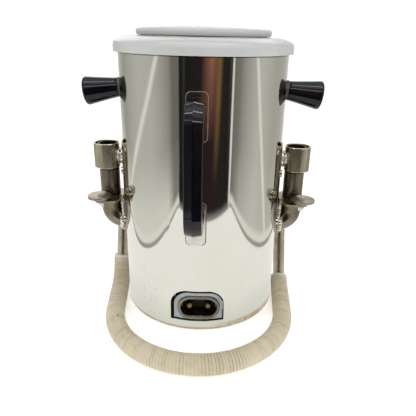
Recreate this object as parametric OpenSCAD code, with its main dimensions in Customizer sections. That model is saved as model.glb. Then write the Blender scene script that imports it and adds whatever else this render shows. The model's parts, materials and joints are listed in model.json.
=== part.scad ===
// Large electric kettle with a mirror-plated cylindrical body, a white collar and lift-off lid,
// two side knobs, a rear grip above a two-pin inlet, an upright socket tube on each side
// and a hinged tipping hoop that rests on the table behind the kettle.
// Millimetres. Origin at the centre of the base on the table, +Z up, rear (grip, inlet, hoop) on -Y,
// pouring spout on +Y. Angles called az are measured round +Z from the rear.

/* [Body] */
// Outside diameter of the metal body
body_d = 168; // [164:1:172]
// Height of the wall's top edge above the table
wall_top_z = 270.9; // [268:0.1:280]
// Thickness of the body wall
wall_t = 1.2; // [1:0.1:1.5]
// Height of the vessel's floor above the table
floor_z = 52; // [50:0.5:56]

/* [Collar and lid] */
// Overhang of the white collar outside the body
collar_overhang = 4.4; // [3:0.1:6]
// Height of the collar above the wall's top edge
collar_h = 14.2; // [13:0.1:16]
// Diameter of the opening in the collar
mouth_d = 126; // [120:1:130]
// Diameter of the lid disc
lid_d = 132.4; // [131:0.1:138]
// Thickness of the lid disc at its middle
lid_t = 8.4; // [7:0.1:10]

/* [Rear grip] */
// Width of the grip
grip_w = 15.8; // [14:0.1:18]
// Depth of the grip's section
grip_depth = 14; // [12:0.5:16]
// Reach of the grip's ridge from the body wall
grip_reach = 43; // [40:0.5:48]
// Turn of the grip round the body from the middle of the rear, in degrees
grip_az = -2.5; // [-4:0.5:4]
// Height of the grip's lower edge above the table
grip_z0 = 118; // [114:1:120]
// Height of the grip's upper edge above the table
grip_z1 = 238; // [230:1:240]

/* [Side knobs] */
// Height of the knob's axis at the wall
knob_z = 235.3; // [230:0.1:238]
// Droop of the knob's axis below level, in degrees
knob_droop = 7.5; // [5:0.5:10]
// Length of the knob beyond its washer
knob_len = 35; // [32:1:40]
// Diameter of the knob's neck
knob_neck_d = 19; // [17:0.5:19]
// Diameter of the knob's outer end
knob_end_d = 28.5; // [27:0.5:31]

/* [Side sockets] */
// Outside diameter of the socket tube
socket_od = 21.5; // [21:0.5:22]
// Bore of the socket tube
socket_id = 19.5; // [17:0.5:20]
// Distance of the socket's axis from the body wall
socket_off = 17; // [16:0.5:19]
// Height of the socket's mouth above the table
socket_top_z = 177; // [174:1:182]
// Diameter of the eccentric disc
cam_d = 24.7; // [23:0.1:25]
// Distance of the disc's pivot screw from the disc's centre
cam_offset = 2.6; // [2:0.1:3]

/* [Hoop] */
// Radius of the hoop's curve in plan
hoop_r = 89.5; // [88:0.5:92]
// Diameter of the wrapped part
wrap_d = 20; // [18:0.5:20]
// Diameter of the hoop's metal rod
rod_d = 13.5; // [12:0.5:14]
// Height of the hoop's pivot above the table
pivot_z = 93; // [90:0.5:96]

/* [Power inlet] */
// Distance between the two pins
pin_pitch = 19; // [19:0.1:19]
// Diameter of each pin
pin_d = 6; // [6:0.1:6]
// Height of the inlet's centre above the table
inlet_z = 26; // [25:0.5:28]

/* [Hidden] */
$fn = 96;
eps = 0.05;
LEFT = -1;
RIGHT = 1;

// Body
body_r = body_d / 2;
wall_ir = body_r - wall_t;
wall_z0 = 1.2;
bead_d = 3;
far = 3 * body_r;

// Collar and lid
collar_r = body_r + collar_overhang;
collar_top_z = wall_top_z + collar_h;
collar_t = 2.4;
mouth_r = mouth_d / 2;
lid_r = lid_d / 2;
lid_gap = 0.5;
lid_z0 = collar_top_z + lid_gap;
plug_r = mouth_r - 1.2;
plug_h = 17;
plug_t = 1.4;

// Rear grip
grip_bend_r = 24;
gable_h = 2;
foot_w = 18.6;
foot_t = 1.6;
foot_r = 5;
foot_upper_z = [199, 242];
foot_lower_z = [99, 142];
grip_arm_z = [grip_z0 + grip_depth / 2, grip_z1 - grip_depth / 2];
grip_y = -(body_r + grip_reach);

// Side knobs
flange_t = 2;
flange_d = knob_neck_d + 1.5;
stud_d = 6;

// Bracket plates and sockets
plate_t = 1;
plate_r0 = body_r + 0.1;
plate_r1 = plate_r0 + plate_t;
plate_y = [-39, 38];
plate_top_z = 182;
plate_corner = 7;
lobe_yz = [-6, 121.5];
lobe_r = 36;
ear_r = 5;
rivet_d = 4;
rivet_spots = [[-18, 152], [24, 168], [-18, 97], [8, 135]];
socket_x = body_r + socket_off;
elbow_z = 104;
leg_t = 2.5;
leg_x = plate_r1 + 0.2;
elbow_r = socket_x - leg_x - leg_t;
tab_z = 119;
tab_t = 2.5;
tab_tip_y = -31;
tab_end_x = body_r + 29;
clip_z = [151, 177.6];
clip_in = socket_od / 2 + 0.15;
clip_t = 1.5;
clip_bow = 3;
lug_z = [156, 171];
cam_t = 3;
cam_gap = 1.6;
cam_screw_xy = [body_r + 21.7, -24];
cam_z = tab_z + tab_t + cam_gap;
cam_screw_d = 5;
run_fit = 0.05;
side_screw_az = 60.5;
side_screw_z = 137;

// Hoop: a bow on the table, two flared sides, two bends and two arms up to the pivot
wrap_r = wrap_d / 2;
hoop_y = -57.5;
hoop_flare = 5;
hoop_bend_r = 20;
bend_start_y = -12;
pivot_y = 28;
pivot_x = body_r + 9;
eye_d = 24;
arm_stop = 9.2;
eye_t = 7;
pivot_d = 8;
boss_d = 16;
joint_swell = 0.1;
hoop_z = wrap_r + joint_swell / 2;
bow_end = [hoop_r * cos(hoop_flare), hoop_y - hoop_r * sin(hoop_flare), hoop_z];
side_dir = [sin(hoop_flare), cos(hoop_flare), 0];
bend_start = bow_end + side_dir * ((bend_start_y - bow_end[1]) / side_dir[1]);
pivot = [pivot_x, pivot_y, pivot_z];
bend_out = bend_exit(arm_guess(bend_start, 12));
arm_dir = unit(pivot - bend_out);
bend_side = unit(arm_dir - side_dir * (arm_dir * side_dir));
bend_angle = acos(arm_dir * side_dir);
bend_centre = bend_start + bend_side * hoop_bend_r;
wrap_bend_right = 40;
wrap_run_left = 10;

// Power inlet, looking at it from the rear
cut_x = -1.5;
cut_w = 54.7;
cut_z = [11, 46.5];
cut_corner = 17;
face_w = 51;
face_z = [11.7, 44.2];
face_r = body_r - 2;
face_t = 1.6;
flange_back_y = -(body_r - 5.5);
shroud_w = 43.6;
shroud_h = 28.4;
shroud_in_w = 36.9;
shroud_in_h = 19.4;
shroud_y = flange_back_y - 4;
pin_tip_y = flange_back_y - 0.5;
pin_root_y = flange_back_y + 12.5;
pin_seat = 0.5;
shank_d = 4.5;
inlet_back_y = pin_root_y + 12;

// Spout
spout_z = 190;
spout_tilt = 40;
spout_y = body_r - 4;
spout_d = [46, 30];
spout_len = 88;
spout_t = 1.6;
spout_top_z = 254;
spout_hole_d = 34;
spout_hole_z = 207;

// Base and heater
base_z = 6;
base_t = 1.2;
foot_pad_r = 7;
foot_pad_at = 66;
middle_pad_r = 18;
spreader_r = 60;
spreader_t = 6;
ring_r = 45;
ring_d = 8;
ring_gap = 70;
ring_z = floor_z - spreader_t - ring_d / 2;
cutout_d = 24;

// Vector helpers
function unit(v) = v / norm(v);
// Direction of the arm if its lower end were at p, and the end of the bend that it would give
function arm_guess(p, n) = n == 0 ? unit(pivot - p)
  : unit(pivot - bend_exit(arm_guess(p, n - 1)));
function bend_exit(a) =
  let (v = unit(a - side_dir * (a * side_dir)), t = acos(a * side_dir))
  bend_start + v * hoop_bend_r + hoop_bend_r * (side_dir * sin(t) - v * cos(t));

// A child drawn along local +Z is turned to point outwards from the wall at az
module outward(az, z, r) {
  rotate([0, 0, az]) translate([0, -r, z]) rotate([90, 0, 0]) children();
}
module on_side(side) {
  if (side > 0) children();
  else mirror([1, 0, 0]) children();
}
module both_sides() {
  children();
  mirror([1, 0, 0]) children();
}
// Local axes x and y laid along two unit vectors that are square to each other
module in_frame(o, x, y) {
  z = cross(x, y);
  multmatrix([[x[0], y[0], z[0], o[0]], [x[1], y[1], z[1], o[1]], [x[2], y[2], z[2], o[2]], [0, 0, 0, 1]])
    children();
}
// A straight rod from p to q
module bar(p, q, d) {
  v = q - p;
  len = norm(v);
  translate(p) rotate([0, acos(v[2] / len), atan2(v[1], v[0])]) cylinder(h = len, d = d);
}
module ring(r0, r1, z0, z1) {
  translate([0, 0, z0]) difference() {
    cylinder(h = z1 - z0, r = r1, $fn = 180);
    translate([0, 0, -1]) cylinder(h = z1 - z0 + 2, r = r0, $fn = 180);
  }
}
// A flat outline w wide and h tall, standing on y = 0, with two round top corners
module arch(w, h, r) {
  translate([-w / 2, 0]) square([w, h - r]);
  translate([-w / 2 + r, 0]) square([w - 2 * r, h]);
  for (s = [-1, 1]) translate([s * (w / 2 - r), h - r]) circle(r = r);
}
module round_box(w, h, r) {
  square([w - 2 * r, h], center = true);
  square([w, h - 2 * r], center = true);
  for (sx = [-1, 1], sy = [-1, 1]) translate([sx * (w / 2 - r), sy * (h / 2 - r)]) circle(r = r);
}
module oval(w, h) {
  square([w - h, h], center = true);
  for (s = [-1, 1]) translate([s * (w - h) / 2, 0]) circle(d = h);
}
// An outline in x and z, given a thickness from y0 to y1
module slab_y(y0, y1) {
  translate([0, y1, 0]) rotate([90, 0, 0]) linear_extrude(y1 - y0) children();
}
// A machine screw along local +Z: shank below 0, pan head above
module pan_screw(d, len, head_d, head_h) {
  translate([0, 0, -len]) cylinder(h = len + eps, d = d);
  difference() {
    cylinder(h = head_h, d = head_d);
    translate([0, 0, head_h]) cube([head_d + 1, head_d * 0.14, head_h], center = true);
  }
}
module hex_nut(d, af, h) {
  difference() {
    cylinder(h = h, d = af / cos(30), $fn = 6);
    translate([0, 0, -1]) cylinder(h = h + 2, d = d);
  }
}

// ---- Vessel ----
module wall_holes() {
  slab_y(-far, -body_r / 2) translate([cut_x, cut_z[0]]) arch(cut_w, cut_z[1] - cut_z[0], cut_corner);
  for (z = grip_arm_z) outward(grip_az, z, body_r - 10) cylinder(h = 20, d = 5.2);
  for (az = [-90, 90]) outward(az, knob_z, body_r - 10) cylinder(h = 20, d = stud_d + 1.4);
  for (az = [-side_screw_az, side_screw_az]) outward(az, side_screw_z, body_r - 10) cylinder(h = 20, d = 4.2);
  both_sides() rivet_row(rivet_d + 0.1, body_r - 10, 20);
  translate([0, 0, spout_hole_z]) rotate([-90, 0, 0]) cylinder(h = far, d = spout_hole_d);
}
module rivet_row(d, r, len) {
  for (p = rivet_spots) outward(side_az(p[0]), p[1], r) cylinder(h = len, d = d);
}
module body_wall() {
  color("gainsboro") difference() {
    union() {
      ring(wall_ir, body_r, wall_z0, wall_top_z);
      rotate_extrude($fn = 180) translate([wall_ir - bead_d / 2 + 0.4, wall_z0 + bead_d / 2]) circle(d = bead_d);
    }
    wall_holes();
  }
}
module vessel_floor() {
  color("silver") difference() {
    translate([0, 0, floor_z]) cylinder(h = 9, r = wall_ir, $fn = 180);
    translate([0, 0, floor_z + 1.2]) cylinder(h = 9, r = wall_ir - 1.2, $fn = 180);
  }
}
// The spout's cone, made slimmer by the given amount, along its tilted axis
module spout_cone(inset, extra) {
  translate([0, spout_y, spout_z]) rotate([-spout_tilt, 0, 0]) translate([0, 0, -30 - extra])
    cylinder(h = spout_len + 30 + 2 * extra, d1 = spout_d[0] - 2 * inset, d2 = spout_d[1] - 2 * inset);
}
module spout() {
  color("gainsboro") difference() {
    spout_cone(0, 0);
    spout_cone(spout_t, 5);
    translate([0, 0, -1]) cylinder(h = far, r = body_r + 0.1, $fn = 180);
    translate([-far, -far, spout_top_z]) cube(2 * far);
  }
}
module strainer() {
  hole_pitch = 7;
  color("silver") intersection() {
    difference() {
      ring(wall_ir - 1.3, wall_ir - 0.1, spout_hole_z - 24, spout_hole_z + 24);
      for (ix = [-2:2], iz = [-2:2]) if (norm([ix, iz]) < 2.5)
        translate([ix * hole_pitch, 0, spout_hole_z + iz * hole_pitch])
          rotate([-90, 0, 0]) cylinder(h = far, d = 4.4, $fn = 24);
    }
    slab_y(0, far) translate([0, spout_hole_z]) round_box(44, 44, 8);
  }
}

// ---- Collar and lid ----
module rim_seal() {
  color("saddlebrown") ring(body_r - 0.9, body_r + 0.7, wall_top_z, wall_top_z + 1);
}
module collar_outline() {
  edge_r = 7;
  edge_z = wall_top_z + 1 + 2;
  polygon(concat(
    [[collar_r, wall_top_z - 0.4], [collar_r, edge_z]],
    [for (a = [10:10:70]) [collar_r - edge_r + edge_r * cos(a), edge_z + edge_r * sin(a)]],
    [[body_r - 7, collar_top_z - 1.1], [body_r - 14, collar_top_z - 0.3], [mouth_r + 2, collar_top_z],
     [mouth_r, collar_top_z - 1], [mouth_r, collar_top_z - 12], [mouth_r + 1.6, collar_top_z - 12],
     [mouth_r + 1.6, collar_top_z - collar_t - 0.3], [wall_ir - 2.2, collar_top_z - collar_t - 1.2],
     [wall_ir - 2.2, wall_top_z - 8], [wall_ir - 0.3, wall_top_z - 8], [wall_ir - 0.3, wall_top_z + 1],
     [body_r + 1.2, wall_top_z + 1], [body_r + 1.2, wall_top_z - 0.4]]));
}
module rim_ring() {
  color("white") rotate_extrude($fn = 180) collar_outline();
}
// The three screws that hold the plug under the lid
module lid_screw_places(z) {
  for (a = [0:120:240]) rotate([0, 0, a]) translate([40, 0, z]) children();
}
module lid_disc() {
  edge_r = 3.2;
  color("white") difference() {
    rotate_extrude($fn = 180) polygon(concat(
      [[0, lid_z0], [lid_r - 2, lid_z0], [lid_r - 0.6, lid_z0 + 0.6]],
      [for (a = [0:15:75]) [lid_r - edge_r + edge_r * cos(a), lid_z0 + 3.2 + edge_r * sin(a)]],
      [[lid_r - 8, lid_z0 + 6.9], [lid_r * 0.6, lid_z0 + lid_t - 0.5], [0, lid_z0 + lid_t]]));
    lid_screw_places(lid_z0 - 1) cylinder(h = 4, d = 3.3);
  }
}
module lid_plug() {
  color("silver") difference() {
    translate([0, 0, lid_z0 - plug_h]) cylinder(h = plug_h, r = plug_r, $fn = 180);
    translate([0, 0, lid_z0 - plug_h + plug_t]) cylinder(h = plug_h, r = plug_r - plug_t, $fn = 180);
    lid_screw_places(lid_z0 - plug_h - 1) cylinder(h = 4, d = 3.4);
  }
}
module lid_gasket() {
  color("dimgray") ring(plug_r, plug_r + 0.8, lid_z0 - 11, lid_z0 - 8);
}
module lid_screws() {
  color("silver") lid_screw_places(lid_z0 - plug_h) mirror([0, 0, 1]) {
    cylinder(h = 1.8, d = 6.4);
    translate([0, 0, -plug_h - 2.6]) cylinder(h = plug_h + 2.6 + eps, d = 3.2);
  }
}

// ---- Rear grip ----
// Section of the grip: x across, y outwards from the body, with a gabled outer face
module grip_section() {
  w = grip_w / 2;
  d = grip_depth;
  polygon([[-w + 1.5, 0], [w - 1.5, 0], [w, 1.5], [w, d - gable_h], [0.8, d], [-0.8, d], [-w, d - gable_h], [-w, 1.5]]);
}
module handle_grip() {
  inner_r = grip_bend_r - grip_depth;
  bend_y = grip_y + grip_bend_r;
  straight = grip_z1 - grip_z0 - 2 * grip_bend_r;
  color("#141414") rotate([0, 0, grip_az]) difference() {
    union() {
      translate([0, bend_y - inner_r, grip_z0 + grip_bend_r]) rotate([0, 0, 180])
        linear_extrude(straight) grip_section();
      for (top = [0, 1]) {
        z = top == 1 ? grip_z1 - grip_bend_r : grip_z0 + grip_bend_r;
        translate([0, bend_y, z]) mirror([0, 0, 1 - top]) {
          rotate([90, 0, 0]) rotate([0, -90, 0])
            rotate_extrude(angle = 90) translate([inner_r, 0]) rotate([0, 0, -90]) grip_section();
          translate([0, 0, inner_r]) rotate([-90, 0, 0]) mirror([0, 1, 0])
            linear_extrude(-bend_y - body_r + 4) grip_section();
        }
      }
    }
    translate([0, 0, -1]) cylinder(h = far, r = body_r + foot_t + 0.15, $fn = 180);
    for (z = grip_arm_z) outward(0, z, body_r) cylinder(h = 22, d = 5);
  }
}
module grip_foot(z) {
  mid = (z[0] + z[1]) / 2;
  color("silver") rotate([0, 0, grip_az]) difference() {
    intersection() {
      ring(body_r + 0.05, body_r + 0.05 + foot_t, z[0] - 1, z[1] + 1);
      slab_y(-far, 0) translate([0, mid]) round_box(foot_w, z[1] - z[0], foot_r);
    }
    for (zz = grip_arm_z) outward(0, zz, body_r - 2) cylinder(h = 10, d = 5.2);
  }
}
module handle_foot_upper() {
  grip_foot(foot_upper_z);
}
module handle_foot_lower() {
  grip_foot(foot_lower_z);
}
module handle_screws() {
  color("silver") for (z = grip_arm_z) outward(grip_az, z, wall_ir - 2) mirror([0, 0, 1]) pan_screw(4.9, 22, 9, 2.8);
}

// ---- Side knobs ----
module knob_axis(side) {
  on_side(side) translate([body_r, 0, knob_z]) rotate([0, 90 + knob_droop, 0]) children();
}
module knob(side) {
  r0 = knob_neck_d / 2;
  r1 = knob_end_d / 2;
  z0 = flange_t;
  z1 = flange_t + knob_len;
  color("#101010") knob_axis(side) difference() {
    rotate_extrude() polygon(concat(
      [[0, z0], [r0 + 0.2, z0], [r0, z0 + 1], [r0 + 0.4, z0 + 7],
       [r0 + 1.5, z0 + 14], [r0 + 3.3, z0 + 23], [r1 - 0.2, z1 - 4.5]],
      [for (a = [0:20:80]) [r1 - 2.4 + 2.4 * cos(a), z1 - 2.6 + 2.4 * sin(a)]],
      [[r1 * 0.55, z1 + 0.8], [0, z1 + 1.2]]));
    translate([0, 0, z0 - 1]) cylinder(h = 21, d = stud_d + 0.1);
  }
}
module knob_flange(side) {
  color("dimgray") difference() {
    knob_axis(side) rotate_extrude() polygon([[0, -6], [flange_d / 2, -6], [flange_d / 2, flange_t - 0.6],
      [flange_d / 2 - 0.6, flange_t], [0, flange_t]]);
    translate([0, 0, -1]) cylinder(h = far, r = body_r + 0.05, $fn = 180);
    knob_axis(side) translate([0, 0, -20]) cylinder(h = 40, d = stud_d + 0.2);
  }
}
module knob_studs() {
  color("silver") for (side = [LEFT, RIGHT]) {
    knob_axis(side) translate([0, 0, -11]) cylinder(h = 11 + flange_t + 19, d = stud_d);
    knob_axis(side) translate([0, 0, -9.2]) hex_nut(stud_d - eps, 10, 4.4);
  }
}
module seal_washers() {
  color("#333333") {
    for (side = [LEFT, RIGHT]) knob_axis(side) translate([0, 0, -4.7]) difference() {
      cylinder(h = 1.8, d = 13);
      translate([0, 0, -1]) cylinder(h = 4, d = stud_d + 0.1);
    }
    for (z = grip_arm_z) outward(grip_az, z, wall_ir - 1.9) difference() {
      cylinder(h = 1.7, d = 11);
      translate([0, 0, -1]) cylinder(h = 4, d = 5);
    }
  }
}

// ---- Side brackets and sockets ----
// A place on the wall at the side, given by its y
function side_az(y) = 90 + asin(y / body_r);
// The plate seen from the side: a tall sheet with a round lower rear lobe and an ear for the side screw
module plate_outline() {
  front_w = plate_y[1] - lobe_yz[0];
  translate([(plate_y[0] + plate_y[1]) / 2, lobe_yz[1]])
    arch(plate_y[1] - plate_y[0], plate_top_z - lobe_yz[1], plate_corner);
  translate([lobe_yz[0] + front_w / 2, lobe_yz[1]]) mirror([0, 1]) arch(front_w, lobe_r, plate_corner);
  translate(lobe_yz) circle(r = lobe_r);
  translate([-body_r * cos(side_screw_az), side_screw_z]) circle(r = ear_r);
}
module bracket_plate(side) {
  color("#8a8278") on_side(side) difference() {
    intersection() {
      ring(plate_r0, plate_r1, lobe_yz[1] - lobe_r - 1, plate_top_z + 1);
      rotate([90, 0, 90]) linear_extrude(far) plate_outline();
    }
    rivet_row(rivet_d + 0.1, body_r - 2, 10);
    outward(side_screw_az, side_screw_z, body_r - 2) cylinder(h = 10, d = 4.2);
  }
}
module plate_rivets() {
  color("silver") both_sides() {
    rivet_row(rivet_d, body_r - 2.4, plate_t + 3.2);
    rivet_row(7.4, plate_r1 + 0.05, 1.6);
    rivet_row(7, wall_ir - 1.25, 1.2);
  }
}
module side_screws() {
  color("silver") for (az = [-side_screw_az, side_screw_az])
    outward(az, side_screw_z, plate_r1 + 0.1) pan_screw(4, 7, 7.6, 2);
}
// The level tab, welded to the top of the leg: the socket stands in it and the disc turns over it
module tab_plate(side) {
  x0 = leg_x + leg_t;
  y1 = 13.5;
  color("#8a8278") on_side(side) translate([0, 0, tab_z]) linear_extrude(tab_t) difference() {
    translate([(x0 + tab_end_x) / 2, (tab_tip_y + y1) / 2]) round_box(tab_end_x - x0, y1 - tab_tip_y, 6);
    translate([socket_x, 0]) circle(d = socket_od + 0.2);
    translate(cam_screw_xy) circle(d = cam_screw_d);
  }
}
// The upright leg on the plate, which also closes the lower end of the socket's elbow
module elbow_leg(side) {
  leg_z0 = 80;
  leg_w = 24;
  color("#8a8278") on_side(side)
    translate([leg_x, -leg_w / 2, leg_z0]) cube([leg_t, leg_w, tab_z + tab_t - leg_z0]);
}
module socket_solid(d) {
  translate([socket_x, 0, elbow_z]) cylinder(h = socket_top_z - elbow_z, d = d);
  translate([socket_x - elbow_r, 0, elbow_z]) rotate([90, 0, 0]) rotate([0, 0, -90])
    rotate_extrude(angle = 90) translate([elbow_r, 0]) circle(d = d);
}
module socket_tube(side) {
  color("#8f867b") on_side(side) difference() {
    socket_solid(socket_od);
    socket_solid(socket_id);
    translate([socket_x, 0, socket_top_z - 1]) cylinder(h = 3, d = socket_id);
  }
}
// The strap's outline seen from above: two straight legs and a half-round that bows past the tube
module strap_outline(r, leg) {
  translate([socket_x + clip_bow, 0]) circle(r = r);
  translate([socket_x - leg, -r]) square([leg + clip_bow, 2 * r]);
}
// A strap over a thin collar round the socket, on a lug that is welded to the plate
module tube_clip(side) {
  collar_r = clip_in + 0.8;
  leg = 6.3;
  lug_w = 12;
  color("#8a8278") on_side(side) difference() {
    union() {
      translate([0, 0, clip_z[0]]) linear_extrude(clip_z[1] - clip_z[0]) {
        strap_outline(clip_in + clip_t, leg);
        translate([socket_x, 0]) circle(r = collar_r);
      }
      translate([plate_r0, -lug_w / 2, lug_z[0]]) cube([socket_x - clip_in - plate_r0, lug_w, lug_z[1] - lug_z[0]]);
    }
    translate([0, 0, clip_z[0] - 1]) linear_extrude(40) {
      intersection() {
        strap_outline(clip_in, leg + 1);
        translate([socket_x, -far]) square(2 * far);
      }
      translate([socket_x, 0]) circle(r = clip_in);
    }
    translate([0, 0, 100]) cylinder(h = 100, r = plate_r1 + 0.05, $fn = 180);
  }
}
module cam_disc(side) {
  color("#9a938a") on_side(side) difference() {
    translate([cam_screw_xy[0] + cam_offset, cam_screw_xy[1], cam_z]) cylinder(h = cam_t, d = cam_d);
    translate([cam_screw_xy[0], cam_screw_xy[1], cam_z - 1]) cylinder(h = cam_t + 2, d = cam_screw_d + 2 * run_fit);
  }
}
module cam_screw(side) {
  head_gap = 0.3;
  color("silver") on_side(side) translate([cam_screw_xy[0], cam_screw_xy[1], cam_z + cam_t + head_gap])
    pan_screw(cam_screw_d, cam_t + head_gap + cam_gap + tab_t + 6, 8.4, 2.6);
}
module cam_washers() {
  color("#333333") both_sides() translate([cam_screw_xy[0], cam_screw_xy[1], tab_z + tab_t]) difference() {
    cylinder(h = cam_gap - 0.3, d = 17);
    translate([0, 0, -1]) cylinder(h = 3, d = cam_screw_d + 0.1);
  }
}
module cam_nuts() {
  color("silver") both_sides() translate([cam_screw_xy[0], cam_screw_xy[1], tab_z - 4.1]) hex_nut(cam_screw_d, 8, 4);
}

// ---- Tipping hoop ----
module bow(d, side_angle) {
  translate([0, hoop_y, hoop_z]) rotate([0, 0, -90 - side_angle])
    rotate_extrude(angle = 2 * side_angle, $fn = 180) translate([hoop_r, 0]) circle(d = d, $fn = 48);
}
// The part of the bend up to the given angle
module hoop_bend(d, angle) {
  in_frame(bend_centre, -bend_side, side_dir)
    rotate_extrude(angle = angle) translate([hoop_bend_r, 0]) circle(d = d, $fn = 48);
}
// A ball a little larger than the rod, over the joint of two lengths of it
module joint_ball(p, d) {
  translate(p) sphere(d = d + joint_swell, $fn = 48);
}
// The bow with its two straight sides
module bow_and_sides(d) {
  bow(d, 90 - hoop_flare);
  both_sides() {
    joint_ball(bow_end, d);
    bar(bow_end, bend_start, d);
    joint_ball(bend_start, d);
  }
}
// One whole bend and a length of the arm above it
module bend_and_arm(d, len) {
  hoop_bend(d, bend_angle);
  joint_ball(bend_out, d);
  bar(bend_out, bend_out + arm_dir * len, d);
}
module hoop_rod() {
  arm_len = norm(pivot - bend_out) - arm_stop;
  color("#8f867b") difference() {
    union() {
      bow_and_sides(rod_d);
      both_sides() {
        bend_and_arm(rod_d, arm_len);
        on_pivot(pivot_x - eye_t / 2) cylinder(h = eye_t, d = eye_d);
      }
    }
    both_sides() on_pivot(pivot_x - 20) cylinder(h = 40, d = pivot_d + 2 * run_fit);
  }
}
module hoop_wrap() {
  bore = rod_d + 0.2;
  color("antiquewhite") difference() {
    union() {
      bow_and_sides(wrap_d);
      hoop_bend(wrap_d, wrap_bend_right);
      mirror([1, 0, 0]) bend_and_arm(wrap_d, wrap_run_left);
    }
    bow_and_sides(bore);
    both_sides() bend_and_arm(bore, 40);
  }
}
// A whipping band that closes each end of the wrap
module hoop_end_bands() {
  band_d = wrap_d - 1;
  band_w = 4;
  band_bend = 12;
  color("whitesmoke") {
    difference() {
      in_frame(bend_centre, -bend_side, side_dir) rotate([0, 0, wrap_bend_right])
        rotate_extrude(angle = band_bend) translate([hoop_bend_r, 0]) circle(d = band_d, $fn = 48);
      hoop_bend(rod_d + 0.2, bend_angle);
    }
    mirror([1, 0, 0]) difference() {
      bar(bend_out + arm_dir * wrap_run_left, bend_out + arm_dir * (wrap_run_left + band_w), band_d);
      bar(bend_out, bend_out + arm_dir * 40, rod_d + 0.2);
    }
  }
}
module on_pivot(x) {
  translate([x, pivot_y, pivot_z]) rotate([0, 90, 0]) children();
}
// A boss on each plate carries the pivot bolt, so that the arm stands clear of the wall
module hoop_bosses() {
  boss_x1 = pivot_x - eye_t / 2 - 0.4;
  color("#8a8278") both_sides() difference() {
    on_pivot(body_r - 20) cylinder(h = boss_x1 - body_r + 20, d = boss_d);
    translate([0, 0, pivot_z - 20]) cylinder(h = 40, r = plate_r1 + 0.05, $fn = 180);
    on_pivot(body_r - 20) cylinder(h = 40, d = pivot_d);
  }
}
module hoop_pivot_bolts() {
  bolt_x1 = pivot_x + eye_t / 2 + 9;
  color("silver") both_sides() difference() {
    on_pivot(body_r - 20) cylinder(h = bolt_x1 - body_r + 20, d = pivot_d);
    translate([0, 0, pivot_z - 20]) cylinder(h = 40, r = plate_r1 + 0.05, $fn = 180);
  }
}
module hoop_pivot_nuts() {
  x0 = pivot_x + eye_t / 2 + 0.4;
  color("silver") both_sides() {
    on_pivot(x0) difference() {
      cylinder(h = 1.4, d = 17);
      translate([0, 0, -1]) cylinder(h = 4, d = pivot_d + 0.1);
    }
    on_pivot(x0 + 1.5) hex_nut(pivot_d, 13, 6);
  }
}

// ---- Power inlet ----
// A curved plate just inside the wall, with an oval hole that the shroud's flange stands in
module inlet_faceplate() {
  color("lightsteelblue") difference() {
    intersection() {
      ring(face_r - face_t, face_r, face_z[0] - 1, face_z[1] + 1);
      slab_y(-far, 0) translate([0, face_z[0]]) arch(face_w, face_z[1] - face_z[0], cut_corner - 1.5);
    }
    slab_y(-far, 0) translate([0, inlet_z]) oval(shroud_w + 0.2, shroud_h + 0.2);
  }
}
module inlet_shroud() {
  color("silver") difference() {
    union() {
      slab_y(shroud_y, flange_back_y) translate([0, inlet_z]) oval(shroud_w, shroud_h);
      slab_y(flange_back_y - eps, pin_root_y + 4) translate([0, inlet_z]) oval(shroud_w - 4.2, shroud_h - 4.2);
    }
    slab_y(shroud_y - 1, pin_root_y + 5) translate([0, inlet_z]) oval(shroud_in_w, shroud_in_h);
  }
}
module inlet_body() {
  color("#1c1a18") difference() {
    union() {
      slab_y(pin_root_y, inlet_back_y - 2) translate([0, inlet_z]) oval(shroud_in_w - 0.2, shroud_in_h - 0.2);
      slab_y(pin_root_y + 4.1, inlet_back_y) translate([0, inlet_z]) round_box(shroud_w - 2, shroud_h - 6, 3);
    }
    for (s = [-1, 1]) translate([s * pin_pitch / 2, pin_root_y - 1, inlet_z]) rotate([-90, 0, 0]) {
      cylinder(h = 20, d = shank_d);
      cylinder(h = 1 + pin_seat, d = pin_d + 3);
    }
  }
}
module inlet_pins() {
  color("goldenrod") for (s = [-1, 1]) translate([s * pin_pitch / 2, 0, inlet_z]) {
    translate([0, pin_tip_y + 1, 0]) rotate([-90, 0, 0]) {
      cylinder(h = pin_root_y + pin_seat - pin_tip_y - 1, d = pin_d);
      cylinder(h = inlet_back_y - pin_tip_y - 1, d = shank_d);
    }
    translate([0, pin_tip_y, 0]) rotate([-90, 0, 0]) cylinder(h = 1, d1 = pin_d - 1.6, d2 = pin_d);
    translate([-2.2, inlet_back_y, -0.6]) cube([4.4, 9, 1.2]);
  }
}
module earth_contacts() {
  color("goldenrod") for (s = [-1, 1]) translate([s * (shroud_in_w / 2 - 1.2) - 0.4, pin_tip_y + 3, inlet_z - 3])
    cube([0.8, pin_root_y - pin_tip_y - 3, 6]);
}
module inlet_clamp() {
  bar_y = inlet_back_y;
  bar_t = 1.6;
  stud_x = 23.5;
  stud_y0 = bar_y - 21.9;
  color("silver") {
    difference() {
      slab_y(bar_y, bar_y + bar_t) translate([0, inlet_z]) round_box(2 * stud_x + 10, 10, 3);
      for (s = [-1, 1]) translate([s * pin_pitch / 2, bar_y - 1, inlet_z]) rotate([-90, 0, 0]) cylinder(h = 5, d = 9);
      for (s = [-1, 1]) translate([s * stud_x, bar_y - 1, inlet_z]) rotate([-90, 0, 0]) cylinder(h = 5, d = 4.1);
    }
    for (s = [-1, 1]) translate([s * stud_x, 0, inlet_z]) {
      translate([0, stud_y0, 0]) rotate([-90, 0, 0]) cylinder(h = bar_y + 6 - stud_y0, d = 4);
      translate([0, bar_y + bar_t + 0.1, 0]) rotate([-90, 0, 0]) hex_nut(4, 7, 3);
      translate([-2, stud_y0, -5]) cube([4, 1.5, 10]);
    }
  }
}

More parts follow.
